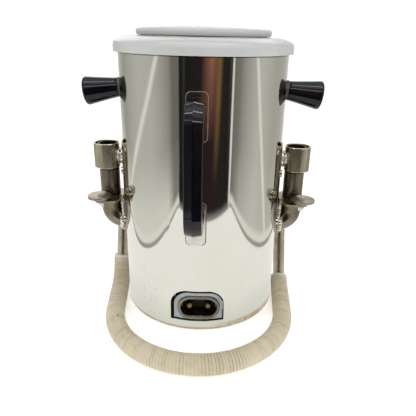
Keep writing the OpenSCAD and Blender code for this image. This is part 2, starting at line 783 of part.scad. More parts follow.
// ---- Heater and base ----
module heat_spreader() {
  color("lightgray") translate([0, 0, floor_z - spreader_t]) difference() {
    cylinder(h = spreader_t, r = spreader_r);
    translate([0, 0, -1]) cylinder(h = spreader_t - 1, d = 6.1);
  }
}
module heating_ring() {
  open_half = ring_gap / 2;
  color("#5b5550") {
    translate([0, 0, ring_z]) rotate([0, 0, -90 + open_half])
      rotate_extrude(angle = 360 - ring_gap) translate([ring_r, 0]) circle(d = ring_d);
    for (az = [-open_half, open_half]) rotate([0, 0, az]) translate([0, -ring_r, ring_z]) {
      translate([0, 0, -12]) cylinder(h = 12 + ring_d / 2 - 0.3, d = ring_d + 1.4);
      translate([0, 0, -18]) cylinder(h = 7, d = 3);
    }
  }
}
module thermal_cutout() {
  color("#6b4226") translate([0, 22, ring_z - 7.5]) {
    cylinder(h = 11.4, d = cutout_d);
    translate([0, 0, -4]) cylinder(h = 4, d = cutout_d - 10);
    for (s = [-1, 1]) translate([s * (cutout_d / 2 - 5) - 3, -2.5, -7]) cube([6, 0.8, 7.2]);
  }
}
module cutout_strap() {
  z = ring_z - 7.6;
  color("silver") difference() {
    union() {
      translate([-20, 24.5, z - 1]) cube([40, 8, 1]);
      for (s = [-1, 1]) translate([s * 19.5 - 0.5, 24.5, z - 1]) cube([1, 8, floor_z - spreader_t - z + 1]);
    }
    translate([0, 22, z - 5]) cylinder(h = 10, d = cutout_d - 9);
  }
}
// An insulated wire through a list of points, with a crimp or clip at each
module wire(points) {
  wire_d = 2.6;
  for (i = [0:len(points) - 2]) bar(points[i], points[i + 1], wire_d, $fn = 8);
  for (p = points) translate(p) cube(wire_d + 1, center = true);
}
module internal_wires() {
  tail_y = inlet_back_y + 11;
  cold_x = ring_r * sin(ring_gap / 2);
  cold_y = -ring_r * cos(ring_gap / 2);
  cold_z = ring_z - 20;
  tag_y = 22;
  tag_x = cutout_d / 2 - 5;
  tag_z = ring_z - 17;
  color("#a33322") wire([[pin_pitch / 2, tail_y, inlet_z], [16, tail_y + 5, 20], [cold_x, cold_y, cold_z]]);
  color("#2b4a8c") {
    wire([[-pin_pitch / 2, tail_y, inlet_z], [-12, -10, 20], [-tag_x, tag_y, tag_z]]);
    wire([[tag_x, tag_y, tag_z], [14, 0, 14], [-18, -18, 14], [-cold_x, cold_y, cold_z]]);
  }
}
module base_plate() {
  recess_r = 12;
  color("silver") difference() {
    union() {
      translate([0, 0, base_z]) cylinder(h = base_t, r = wall_ir - bead_d - 0.5, $fn = 180);
      translate([0, 0, base_z]) cylinder(h = 3.4, r = recess_r);
    }
    translate([0, 0, base_z - 1]) cylinder(h = 3.2, r = recess_r - base_t);
    translate([0, 0, base_z - 1]) cylinder(h = 6, d = 6.2);
    for (a = [30:60:330]) rotate([0, 0, a]) translate([0, -40, base_z - 1]) linear_extrude(4) oval(24, 4);
  }
}
module base_bolt() {
  color("silver") {
    translate([0, 0, base_z - 2]) cylinder(h = floor_z - spreader_t - base_z + 6, d = 6);
    translate([0, 0, base_z - 2.6]) hex_nut(6, 10, 4.7);
  }
}
// Three pads near the rim, and one in the middle that hides the bolt's nut
module feet() {
  pad_h = base_z - 0.05;
  color("#262626") {
    for (a = [60:120:300]) rotate([0, 0, a]) translate([0, foot_pad_at, 0])
      cylinder(h = pad_h, r1 = foot_pad_r - 0.6, r2 = foot_pad_r);
    difference() {
      cylinder(h = pad_h, r = middle_pad_r);
      translate([0, 0, base_z - 3.2]) cylinder(h = pad_h, r = 8);
    }
  }
}

body_wall();
vessel_floor();
spout();
strainer();
rim_seal();
rim_ring();
lid_disc();
lid_plug();
lid_gasket();
lid_screws();
handle_grip();
handle_foot_upper();
handle_foot_lower();
handle_screws();
knob(LEFT);  // knob_left
knob(RIGHT);  // knob_right
knob_flange(LEFT);  // knob_flange_left
knob_flange(RIGHT);  // knob_flange_right
knob_studs();
seal_washers();
bracket_plate(LEFT);  // bracket_plate_left
bracket_plate(RIGHT);  // bracket_plate_right
plate_rivets();
side_screws();
tab_plate(LEFT);  // tab_plate_left
tab_plate(RIGHT);  // tab_plate_right
elbow_leg(LEFT);  // elbow_leg_left
elbow_leg(RIGHT);  // elbow_leg_right
socket_tube(LEFT);  // socket_tube_left
socket_tube(RIGHT);  // socket_tube_right
tube_clip(LEFT);  // tube_clip_left
tube_clip(RIGHT);  // tube_clip_right
cam_disc(LEFT);  // cam_disc_left
cam_disc(RIGHT);  // cam_disc_right
cam_screw(LEFT);  // cam_screw_left
cam_screw(RIGHT);  // cam_screw_right
cam_washers();
cam_nuts();
hoop_rod();
hoop_wrap();
hoop_end_bands();
hoop_bosses();
hoop_pivot_bolts();
hoop_pivot_nuts();
inlet_faceplate();
inlet_shroud();
inlet_body();
inlet_pins();
earth_contacts();
inlet_clamp();
heat_spreader();
heating_ring();
thermal_cutout();
cutout_strap();
internal_wires();
base_plate();
base_bolt();
feet();
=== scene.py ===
"""Looks for the electric kettle: mesh pieces, materials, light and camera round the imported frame."""
import json
import math
import random

import bmesh
import bpy
from mathutils import Matrix, Vector, noise


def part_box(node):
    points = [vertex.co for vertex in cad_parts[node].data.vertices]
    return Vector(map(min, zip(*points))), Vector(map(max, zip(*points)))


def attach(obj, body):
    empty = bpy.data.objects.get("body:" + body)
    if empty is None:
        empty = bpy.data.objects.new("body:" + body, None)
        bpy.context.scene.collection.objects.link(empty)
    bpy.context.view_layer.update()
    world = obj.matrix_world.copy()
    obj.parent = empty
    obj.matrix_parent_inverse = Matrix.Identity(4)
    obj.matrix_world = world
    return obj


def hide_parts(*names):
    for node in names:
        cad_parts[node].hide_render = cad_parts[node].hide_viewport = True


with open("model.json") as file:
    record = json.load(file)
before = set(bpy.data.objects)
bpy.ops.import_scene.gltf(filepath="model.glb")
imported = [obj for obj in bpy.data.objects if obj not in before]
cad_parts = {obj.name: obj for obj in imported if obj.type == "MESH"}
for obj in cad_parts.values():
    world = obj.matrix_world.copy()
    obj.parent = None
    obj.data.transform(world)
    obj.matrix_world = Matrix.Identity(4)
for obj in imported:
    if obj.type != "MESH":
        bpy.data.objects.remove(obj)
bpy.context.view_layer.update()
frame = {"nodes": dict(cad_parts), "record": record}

MM = 0.001
TAU = 2 * math.pi
scene = bpy.context.scene
NODES = frame["nodes"]
SIDES = ("left", "right")
GRIP_AZ = math.radians(-2.5)
KNOB_Z = 235.3 * MM


# ---------------------------------------------------------------- measures taken from the frame
def size_of(node):
    """Lowest corner, highest corner and middle of a CAD node."""
    lo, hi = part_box(node)
    lo, hi = Vector(lo), Vector(hi)
    return lo, hi, (lo + hi) / 2


_, wall_hi, _ = size_of("body_wall")
BODY_R = wall_hi.x
WALL_TOP = wall_hi.z


# ---------------------------------------------------------------- mesh helpers
def new_object(name, verts, faces, smooth=True):
    """A mesh object from corner places and faces, linked into the scene."""
    mesh = bpy.data.meshes.new(name)
    mesh.from_pydata([tuple(v) for v in verts], [], faces)
    mesh.validate()
    mesh.update()
    for p in mesh.polygons:
        p.use_smooth = smooth
    obj = bpy.data.objects.new(name, mesh)
    scene.collection.objects.link(obj)
    return obj


def grid_faces(rows, cols, close_cols=True, close_rows=False):
    """Quads between rows of corners, closed round the columns, the rows or both."""
    faces = []
    for i in range(rows if close_rows else rows - 1):
        a = i * cols
        b = ((i + 1) % rows) * cols
        for j in range(cols if close_cols else cols - 1):
            k = (j + 1) % cols
            faces.append((a + j, a + k, b + k, b + j))
    return faces


def face_outwards(obj, merge=0.0, place=None):
    """Points all faces outwards, after merging corners that meet and moving the mesh where asked."""
    bm = bmesh.new()
    bm.from_mesh(obj.data)
    if merge:
        bmesh.ops.remove_doubles(bm, verts=bm.verts, dist=merge)
    bmesh.ops.recalc_face_normals(bm, faces=bm.faces)
    if place:
        bm.transform(place)
    bm.to_mesh(obj.data)
    bm.free()


def lathe(name, profile, steps, place=None, closed=False):
    """Turns an outline of (radius, height) about Z. A closed outline makes a ring."""
    verts = []
    for r, z in profile:
        for k in range(steps):
            a = TAU * k / steps
            verts.append((r * math.cos(a), r * math.sin(a), z))
    faces = grid_faces(len(profile), steps, True, closed)
    obj = new_object(name, verts, faces)
    face_outwards(obj, 1e-7, place)
    return obj


def arc(cx, cz, r, a0, a1, n):
    """Points (x, z) along an arc, angles in degrees."""
    turns = [math.radians(a0 + (a1 - a0) * i / n) for i in range(n + 1)]
    return [(cx + r * math.cos(a), cz + r * math.sin(a)) for a in turns]


def bevel(obj, width, segments):
    """Rounds the edges that turn by more than 50 degrees."""
    mod = obj.modifiers.new("bevel", "BEVEL")
    mod.width = width
    mod.segments = segments
    mod.limit_method = "ANGLE"
    mod.angle_limit = math.radians(50)


# ---------------------------------------------------------------- material helpers
class Shade:
    """A small builder for one node material."""

    def __init__(self, name, **sockets):
        self.mat = bpy.data.materials.new(name)
        self.mat.use_nodes = True
        self.nt = self.mat.node_tree
        self.bsdf = self.nt.nodes["Principled BSDF"]
        for key, value in sockets.items():
            self.bsdf.inputs[key.replace("_", " ")].default_value = value
        self.coord = self.nt.nodes.new("ShaderNodeTexCoord")
        self.bump_in = None

    def node(self, kind, **settings):
        n = self.nt.nodes.new("ShaderNode" + kind)
        for key, value in settings.items():
            setattr(n, key, value)
        return n

    def link(self, a, b):
        self.nt.links.new(a, b)

    def place(self, scale, rotation):
        """The piece's own coordinates, stretched and turned."""
        m = self.node("Mapping")
        m.inputs["Scale"].default_value = scale
        m.inputs["Rotation"].default_value = rotation
        self.link(self.coord.outputs["Object"], m.inputs["Vector"])
        return m.outputs["Vector"]

    def noise(self, scale, detail=3, rough=0.5, stretch=(1, 1, 1), rotation=(0, 0, 0), warp=0.0):
        """Soft noise from 0 to 1. scale is in patches to the metre."""
        n = self.node("TexNoise")
        n.inputs["Scale"].default_value = scale
        n.inputs["Detail"].default_value = detail
        n.inputs["Roughness"].default_value = rough
        n.inputs["Distortion"].default_value = warp
        self.link(self.place(stretch, rotation), n.inputs["Vector"])
        return n.outputs["Fac"]

    def span(self, value, a, b, lo=0.0, hi=1.0):
        """Maps value from a..b to lo..hi and clamps it."""
        n = self.node("MapRange")
        n.inputs["From Min"].default_value = a
        n.inputs["From Max"].default_value = b
        n.inputs["To Min"].default_value = lo
        n.inputs["To Max"].default_value = hi
        self.link(value, n.inputs["Value"])
        return n.outputs["Result"]

    def math(self, op, a, b=None):
        n = self.node("Math", operation=op)
        for socket, v in zip(n.inputs, (a, b)):
            if v is None:
                continue
            if isinstance(v, (int, float)):
                socket.default_value = v
            else:
                self.link(v, socket)
        return n.outputs[0]

    def mix(self, fac, a, b):
        """Blends colour a into colour b by fac."""
        n = self.node("Mix", data_type="RGBA")
        for socket, v in ((n.inputs[0], fac), (n.inputs[6], a), (n.inputs[7], b)):
            if isinstance(v, (int, float)):
                socket.default_value = v
            elif isinstance(v, (tuple, list)):
                socket.default_value = (*v, 1)[:4]
            else:
                self.link(v, socket)
        return n.outputs[2]

    def colour(self, out):
        self.link(out, self.bsdf.inputs["Base Color"])

    def rough(self, out):
        self.link(out, self.bsdf.inputs["Roughness"])

    def bump(self, height, strength, distance):
        """Adds a bump on top of those already there."""
        n = self.node("Bump")
        n.inputs["Strength"].default_value = strength
        n.inputs["Distance"].default_value = distance
        self.link(height, n.inputs["Height"])
        if self.bump_in:
            self.link(self.bump_in, n.inputs["Normal"])
        self.bump_in = n.outputs["Normal"]
        self.link(self.bump_in, self.bsdf.inputs["Normal"])

    def height_of(self, axis="Z"):
        """The place along one axis, in metres."""
        n = self.node("SeparateXYZ")
        self.link(self.coord.outputs["Object"], n.inputs[0])
        return n.outputs[axis]


def scratches(s, scale, stretch, rotation, thin):
    """Sparse fine lines: narrow bands of a stretched noise."""
    n = s.noise(scale, 2, 0.5, stretch, rotation, 0.4)
    d = s.math("ABSOLUTE", s.math("SUBTRACT", n, 0.5))
    return s.span(d, 0.0, thin, 1.0, 0.0)


def plated_metal():
    """Mirror plating: a soft haze, scratches low down, a tan band round the foot and a dark line under the
    collar.
    """
    s = Shade("plated_body", Metallic=1.0)
    plating, dull_plating = (0.815, 0.812, 0.745), (0.775, 0.768, 0.70)
    dirt, foot_tan, shadow = (0.42, 0.37, 0.29), (0.50, 0.37, 0.20), (0.13, 0.10, 0.06)
    foot_z, wide_foot_z = (2.9 * MM, 4.2 * MM), (6.4 * MM, 8.4 * MM)
    seam_z = (WALL_TOP - 1.9 * MM, WALL_TOP - 1.0 * MM)
    haze = s.noise(9, 4, 0.55)
    blotch = s.noise(38, 5, 0.6)
    lines = scratches(s, 60, (1, 1, 0.30), (0.5, 0.3, 0.2), 0.008)
    lines2 = scratches(s, 95, (1, 1, 0.40), (-0.7, 0.4, 1.2), 0.008)
    where = s.span(s.noise(12, 2, 0.5), 0.44, 0.62)
    low = s.math("MULTIPLY", s.span(s.height_of(), 0.04, 0.12, 1.0, 0.15),
                 s.span(s.height_of("X"), 0.01, -0.05, 0.25, 1.0))
    fleck = s.span(s.noise(240, 3, 0.65), 0.70, 0.76)
    drawn = s.math("MAXIMUM", s.math("MAXIMUM", lines, lines2), fleck)
    marks = s.math("MULTIPLY", drawn, s.math("MULTIPLY", where, low))
    tone = s.mix(s.span(haze, 0.35, 0.65), plating, dull_plating)
    tone = s.mix(s.math("MULTIPLY", marks, 0.5), tone, dirt)
    # A tan band round the foot, wider towards +X, broken up by noise and a little rougher.
    foot = s.span(s.height_of(), *foot_z, 1.0, 0.0)
    wide = s.math("MULTIPLY", s.span(s.height_of(), *wide_foot_z, 1.0, 0.0),
                  s.span(s.height_of("X"), 0.012, 0.035))
    broken = s.span(s.noise(130, 4, 0.7), 0.32, 0.55, 0.25, 1.0)
    tan_marks = s.math("MULTIPLY", s.math("MAXIMUM", foot, wide), broken)
    tone = s.mix(s.math("MULTIPLY", tan_marks, 0.85), tone, foot_tan)
    tone = s.mix(s.math("MULTIPLY", s.span(s.height_of(), *seam_z), 0.85), tone, shadow)
    s.colour(tone)
    r = s.math("ADD", s.span(haze, 0.3, 0.7, 0.045, 0.075), s.span(blotch, 0.5, 0.75, 0.0, 0.03))
    r = s.math("ADD", r, s.math("MULTIPLY", tan_marks, 0.3))
    s.rough(s.math("ADD", r, s.math("MULTIPLY", marks, 0.22)))
    s.bump(s.noise(16, 1, 0.4), 0.35, 0.0008)
    s.bump(marks, 0.12, 0.0001)
    return s.mat


def white_gloss(name="white_collar", coat=0.35, level=0.5):
    """Glossy white, slightly mottled. level is the specular level under the coat."""
    s = Shade(name, Roughness=0.16, Coat_Weight=coat, Coat_Roughness=0.06, Specular_IOR_Level=level)
    mottle = s.noise(22, 4, 0.55)
    grime = s.span(s.noise(60, 5, 0.7), 0.62, 0.80)
    tone = s.mix(s.span(mottle, 0.35, 0.7), (0.59, 0.60, 0.59), (0.545, 0.555, 0.545))
    s.colour(s.mix(s.math("MULTIPLY", grime, 0.25), tone, (0.55, 0.52, 0.46)))
    s.rough(s.span(s.noise(40, 4, 0.6), 0.3, 0.75, 0.12, 0.28))
    s.bump(s.noise(90, 3, 0.5), 0.06, 0.0002)
    return s.mat


def black_gloss():
    """Polished black with fine scratches and dust."""
    s = Shade("black_grip", Specular_IOR_Level=0.34, Coat_Weight=0.12, Coat_Roughness=0.08)
    lines = scratches(s, 120, (1, 1, 0.2), (0.9, 0.1, 0.4), 0.010)
    dust = s.span(s.noise(900, 2, 0.6), 0.70, 0.78)
    patch = s.span(s.noise(30, 3, 0.6), 0.45, 0.7)
    tone = s.mix(s.span(s.noise(60, 3, 0.6), 0.3, 0.7), (0.002, 0.002, 0.004), (0.004, 0.004, 0.007))
    s.colour(s.mix(s.math("MULTIPLY", dust, 0.22), tone, (0.18, 0.17, 0.15)))
    wear = s.math("MULTIPLY", lines, patch)
    s.rough(s.math("ADD", s.span(patch, 0, 1, 0.035, 0.07), s.math("MULTIPLY", wear, 0.25)))
    s.bump(s.noise(90, 2, 0.5), 0.06, 0.0001)
    return s.mat


def flange_metal():
    """Dull dark grey metal."""
    s = Shade("flange_grey", Metallic=0.55)
    t = s.mix(s.span(s.noise(120, 5, 0.6), 0.3, 0.7), (0.075, 0.073, 0.068), (0.13, 0.125, 0.115))
    s.colour(t)
    s.rough(s.span(s.noise(200, 4, 0.6), 0.3, 0.7, 0.38, 0.6))
    s.bump(s.noise(600, 3, 0.6), 0.12, 0.0001)
    return s.mat


def worn_nickel(name, light, dark, rough, rings=()):
    """Worn plating: dull patches, dark specks, a fine grain, and level rings of painted highlight and
    painted shade, given as (height, colour).
    """
    s = Shade(name, Metallic=1.0)
    ring_half, ring_fade = 0.5 * MM, 1.1 * MM
    patch = s.noise(70, 5, 0.62)
    fine = s.noise(500, 3, 0.6, (1, 1, 6))
    speck = s.span(s.noise(420, 2, 0.5), 0.66, 0.74)
    edge = s.span(s.noise(180, 4, 0.7), 0.55, 0.72)
    tone = s.mix(s.span(patch, 0.35, 0.65), light, dark)
    tone = s.mix(s.math("MULTIPLY", edge, 0.25), tone, tuple(1.2 * c for c in light))
    tone = s.mix(s.math("MULTIPLY", speck, 0.5), tone, (0.06, 0.05, 0.04))
    # Each ring paints its colour round the piece at one height: painted highlight lines and painted shade
    # lines.
    for z, colour in rings:
        near = s.math("ABSOLUTE", s.math("SUBTRACT", s.height_of(), z))
        tone = s.mix(s.span(near, ring_half, ring_fade, 0.9, 0.0), tone, colour)
    s.colour(tone)
    s.rough(s.math("ADD", s.span(patch, 0.3, 0.7, *rough), s.math("MULTIPLY", fine, 0.08)))
    s.bump(fine, 0.04, 0.0001)
    s.bump(patch, 0.03, 0.0003)
    return s.mat


def weld_metal():
    """Bright, lumpy weld metal."""
    s = Shade("weld_metal", Metallic=1.0)
    n = s.noise(500, 4, 0.65)
    s.colour(s.mix(s.span(n, 0.45, 0.75), (0.95, 0.95, 0.93), (0.50, 0.48, 0.44)))
    s.rough(s.span(n, 0.3, 0.7, 0.16, 0.42))
    s.bump(n, 0.5, 0.0004)
    return s.mat


def wrap_cord(name, light, dark, tan_marks):
    """Wound cord, darker in its grooves by painted shade, with stains and small dark spots."""
    s = Shade(name, Specular_IOR_Level=0.25, Sheen_Weight=0.12)
    broad = s.noise(26, 4, 0.6)
    mid = s.noise(160, 4, 0.6)
    fibre = s.noise(1500, 2, 0.6)
    spot = s.span(s.noise(230, 4, 0.6), 0.665, 0.71)
    # The groove attribute is painted shade in the grooves between the turns, deeper for some turns than
    # others.
    line = s.node("Attribute", attribute_name="groove")
    tone = s.mix(s.span(broad, 0.35, 0.65), light, dark)
    tone = s.mix(s.math("MULTIPLY", s.span(mid, 0.5, 0.75), 0.5), tone, tan_marks)
    tone = s.mix(s.math("MULTIPLY", line.outputs["Fac"], 0.95), tone, tuple(0.30 * c for c in tan_marks))
    tone = s.mix(s.math("MULTIPLY", spot, 0.75), tone, (0.16, 0.09, 0.045))
    s.colour(tone)
    s.rough(s.span(mid, 0.3, 0.7, 0.62, 0.85))
    s.bump(fibre, 0.25, 0.0002)
    s.bump(mid, 0.2, 0.0004)
    return s.mat


def two_tone(name, light, dark, scale, rough, bump, grain=None, **sockets):
    """Soft patches of two tones. bump is (strength, depth), of the patches or of a finer grain."""
    s = Shade(name, **sockets)
    n = s.noise(scale, 4, 0.6)
    s.colour(s.mix(s.span(n, 0.35, 0.7), light, dark))
    s.rough(s.span(n, 0.3, 0.7, *rough))
    s.bump(s.noise(*grain) if grain else n, *bump)
    return s.mat


def rubber(name, light, dark):
    """Matt and slightly grainy, for rubber, cork and the lines round the foot plates."""
    return two_tone(name, light, dark, 220, (0.6, 0.85), (0.15, 0.0002))


# ---------------------------------------------------------------- camera, light and floor
def make_camera():
    """The main view: from the rear, at the lid's height, tilted down and slightly rolled."""
    place, down, lean = (0.0075, -0.4637, 0.2881), 21.67, 1.19
    data = bpy.data.cameras.new("camera")
    cam = bpy.data.objects.new("camera", data)
    scene.collection.objects.link(cam)
    data.sensor_width = 36
    data.lens = 38.1
    cam.location = place
    tilt = Matrix.Rotation(math.radians(90 - down), 4, "X")
    roll = Matrix.Rotation(math.radians(lean), 4, "Z")
    cam.rotation_euler = (tilt @ roll).to_euler()
    scene.camera = cam


def make_stage():
    """A pale floor that curves up into a backdrop. Reflections don't see it: they see the glowing cards."""
    near, depth, turn_r, height, width = -2.6, 1.3, 0.5, 1.6, 4.0
    profile = [(near, 0.0), (depth, 0.0)]
    profile += arc(depth, turn_r, turn_r, -90, 0, 10)[1:]
    profile.append((depth + turn_r, height))
    verts = []
    for y, z in profile:
        verts += [(-width, y, z), (width, y, z)]
    faces = [(2 * i, 2 * i + 1, 2 * i + 3, 2 * i + 2) for i in range(len(profile) - 1)]
    floor = new_object("floor", verts, faces)
    white = (0.93, 0.93, 0.925, 1)
    s = Shade("floor_white", Roughness=0.9, Specular_IOR_Level=0.1, Base_Color=white, Emission_Color=white,
              Emission_Strength=0.46)
    floor.data.materials.append(s.mat)
    floor.visible_glossy = False


class Glow(Shade):
    """The same builder for a surface that only gives off light."""

    def __init__(self, name):
        super().__init__(name)
        self.nt.nodes.remove(self.bsdf)
        self.lamp = self.node("Emission")
        self.link(self.lamp.outputs[0], self.nt.nodes["Material Output"].inputs["Surface"])

    def ramp(self, value, stops):
        """Tones at places along a value, given as (place, tone)."""
        first, last = stops[0][0], stops[-1][0]
        n = self.node("ValToRGB")
        marks = n.color_ramp.elements
        while len(marks) < len(stops):
            marks.new(0.5)
        for mark, (where, tone) in zip(marks, stops):
            mark.position = (where - first) / (last - first)
        for mark, (where, tone) in zip(marks, stops):
            mark.color = (*tone, 1)
        self.link(self.span(value, first, last), n.inputs["Fac"])
        return n.outputs["Color"]


def card_material(name, axis, stops, streaks, warp, low_glow=0.0):
    """Light given off by a card: tones along X or Y, and streaks given as (place, lean, half width, colour,
    height where it starts, height where it is full). A side card has a bright foot, dark at the table."""
    s = Glow(name)
    shine_z, band_z, line_z, dark_foot_z = (0.13, 0.04), (0.028, 0.016), (0.009, 0.006), (0.018, 0.0)
    dark_end = (-0.33, -0.24)
    where, up = s.height_of(axis), s.height_of("Z")
    tone = s.ramp(s.math("ADD", where, s.math("MULTIPLY", s.noise(5.0, 1), warp)), stops)
    for centre, lean, half, colour, z0, z1 in streaks:
        off = s.math("SUBTRACT", s.math("ADD", where, s.math("MULTIPLY", up, lean)), centre)
        near = s.span(s.math("ABSOLUTE", off), 0.0, half, 1.0, 0.0)
        tone = s.mix(s.math("MULTIPLY", near, s.span(up, z0, z1)), tone, colour)
    if axis == "Y":
        shine = s.math("MULTIPLY", s.span(up, *shine_z, 0.0, low_glow), s.span(where, *dark_end, 0.15, 1.0))
        tone = s.mix(shine, tone, grey(0.72))
        tone = s.mix(s.span(up, *band_z), tone, grey(0.80))
        tone = s.mix(s.span(up, *line_z), tone, grey(0.34))
    else:
        tone = s.mix(s.span(up, *dark_foot_z), tone, grey(0.30))
    s.link(tone, s.lamp.inputs["Color"])
    return s.mat


def rounded(line):
    """Cuts the corners of a line three times over, so that it becomes a smooth curve with the same ends."""
    for _ in range(3):
        cut = [line[0]]
        for (x0, y0), (x1, y1) in zip(line, line[1:]):
            cut.append((0.75 * x0 + 0.25 * x1, 0.75 * y0 + 0.25 * y1))
            cut.append((0.25 * x0 + 0.75 * x1, 0.25 * y0 + 0.75 * y1))
        line = cut + [line[-1]]
    return line


def wall_card(name, line, z0, z1, mat):
    """An upright glowing card along a line in plan, which only reflections see."""
    verts = [(x, y, z) for z in (z0, z1) for x, y in line]
    n = len(line)
    obj = new_object(name, verts, [(i, i + 1, n + i + 1, n + i) for i in range(n - 1)], False)
    obj.data.materials.append(mat)
    only_reflected(obj)


def table_glow():
    """The bright table top that reflections see, a little duller round the kettle's foot."""
    s = Glow("table_glow")
    s.lamp.inputs["Color"].default_value = (1.0, 0.99, 0.955, 1)
    reach = s.node("VectorMath", operation="LENGTH")
    s.link(s.coord.outputs["Object"], reach.inputs[0])
    strength = s.span(reach.outputs["Value"], BODY_R, 1.7 * BODY_R, 0.80, 0.95)
    strength.node.interpolation_type = "SMOOTHSTEP"
    s.link(strength, s.lamp.inputs["Strength"])
    return s.mat


def even_glow(name, strength):
    """White light of one strength all over a card."""
    s = Glow(name)
    s.lamp.inputs["Color"].default_value = (*grey(1.0, 1.0), 1)
    s.lamp.inputs["Strength"].default_value = strength
    return s.mat


def only_reflected(obj):
    """Hides a stage piece from everything but glossy rays."""
    obj.visible_camera = False
    obj.visible_diffuse = False
    obj.visible_shadow = False
    obj.visible_transmission = False
    obj.visible_volume_scatter = False


def grey(v, warmth=0.93):
    """A grey of brightness v, whose blue is scaled by warmth."""
    return (v, v * 0.985, v * warmth)


def make_reflections():
    """What reflections see: a dark card just in front of the camera, pale folded cards at both sides that
    stand on the table, a bright card far behind the kettle, and the table's top."""
    top = 0.42
    dark_left, dark_right = (-0.200, -0.385), (0.262, -0.345)
    left = [dark_left, (-0.215, -0.36), (-0.217, -0.22), (-0.218, -0.01), (-0.30, 0.12), (-0.40, 0.40),
            (-0.38, 0.75)]
    right = [dark_right, (0.277, -0.32), (0.250, -0.16), (0.224, 0.0), (0.212, 0.13), (0.160, 0.21),
             (0.13, 0.50)]
    pale = grey(0.85)
    dark_stops = [(-0.200, grey(0.80)), (-0.196, grey(0.62)), (-0.192, grey(0.012, 1.05)),
                  (-0.06, grey(0.014, 1.0)), (0.0, (0.020, 0.013, 0.015)), (0.10, (0.024, 0.014, 0.018)),
                  (0.18, (0.020, 0.017, 0.016)), (0.252, grey(0.013, 1.0)), (0.257, grey(0.60)),
                  (0.262, grey(0.78))]
    dark_streaks = [(0.03, -0.15, 0.075, (0.30, 0.125, 0.085), 0.13, 0.26),
                    (0.10, -0.10, 0.030, (0.20, 0.12, 0.045), 0.06, 0.20),
                    (-0.15, 0.0, 0.02, (0.05, 0.045, 0.04), 0.05, 0.30),
                    (0.225, 0.0, 0.02, (0.07, 0.065, 0.055), 0.05, 0.30)]
    left_stops = [(-0.385, grey(0.15)), (-0.30, grey(0.16)), (-0.27, (0.20, 0.165, 0.11)),
                  (-0.24, grey(0.28)), (-0.16, grey(0.42)), (-0.10, grey(0.50)), (-0.02, grey(0.52)),
                  (0.05, grey(0.44)), (0.15, grey(0.36, 0.88)), (0.40, grey(0.46)), (0.75, grey(0.62))]
    left_streaks = [(0.16, 1.27, 0.022, pale, -0.1, 0.0)]
    right_stops = [(-0.345, grey(0.15)), (-0.25, grey(0.20)), (-0.19, grey(0.33)), (-0.12, grey(0.46)),
                   (-0.07, grey(0.54)), (-0.02, grey(0.50)), (0.04, grey(0.42, 0.88)),
                   (0.13, grey(0.46)), (0.21, grey(0.64)), (0.50, grey(0.90))]
    right_streaks = [(0.02, 0.55, 0.016, pale, -0.1, 0.0)]
    reach = 3.0
    corners = [(x * reach, y * reach, 0) for x, y in ((-1, -1), (1, -1), (1, 1), (-1, 1))]
    table = new_object("table_glow", corners, [(0, 1, 2, 3)], False)
    table.data.materials.append(table_glow())
    only_reflected(table)
    wall_card("back_card", [(-1.6, 1.7), (1.6, 1.7)], 0.45, 1.7, even_glow("back_card", 1.2))
    wall_card("dark_card", [dark_left, dark_right], 0.0, top,
              card_material("dark_card", "X", dark_stops, dark_streaks, 0.03))
    wall_card("side_card_left", rounded(left), 0.0, top,
              card_material("side_card_left", "Y", left_stops, left_streaks, 0.05, 0.95))
    wall_card("side_card_right", rounded(right), 0.0, top,
              card_material("side_card_right", "Y", right_stops, right_streaks, 0.05, 0.35))


def area_light(name, location, target, size, power):
    """A rectangular lamp that faces a target."""
    data = bpy.data.lights.new(name, "AREA")
    data.shape = "RECTANGLE"
    data.size, data.size_y = size
    data.energy = power
    obj = bpy.data.objects.new(name, data)
    obj.location = location
    obj.rotation_euler = (Vector(target) - Vector(location)).to_track_quat("-Z", "Y").to_euler()
    scene.collection.objects.link(obj)


def make_light():
    """Soft light from above and both sides, and two narrow lamps for highlights on the black pieces."""
    world = bpy.data.worlds.new("studio")
    scene.world = world
    world.use_nodes = True
    back = world.node_tree.nodes["Background"]
    back.inputs["Color"].default_value = (1.0, 1.0, 0.995, 1)
    back.inputs["Strength"].default_value = 0.50
    area_light("top_soft", (0.0, -0.15, 1.25), (0, 0, 0.1), (1.3, 1.0), 2.4)
    area_light("left_soft", (-1.1, -0.7, 0.7), (0, 0, 0.15), (0.5, 1.0), 1.7)
    area_light("right_soft", (1.1, -0.6, 0.7), (0, 0, 0.15), (0.5, 1.0), 1.7)
    area_light("strip_above", (0.0, -0.16, 1.0), (0, -0.12, 0.2), (1.0, 0.04), 1.3)
    area_light("strip_front", (0.0, -0.95, 1.0), (0, -0.12, 0.2), (1.2, 0.05), 1.6)
    scene.view_settings.view_transform = "Standard"
    scene.view_settings.look = "None"


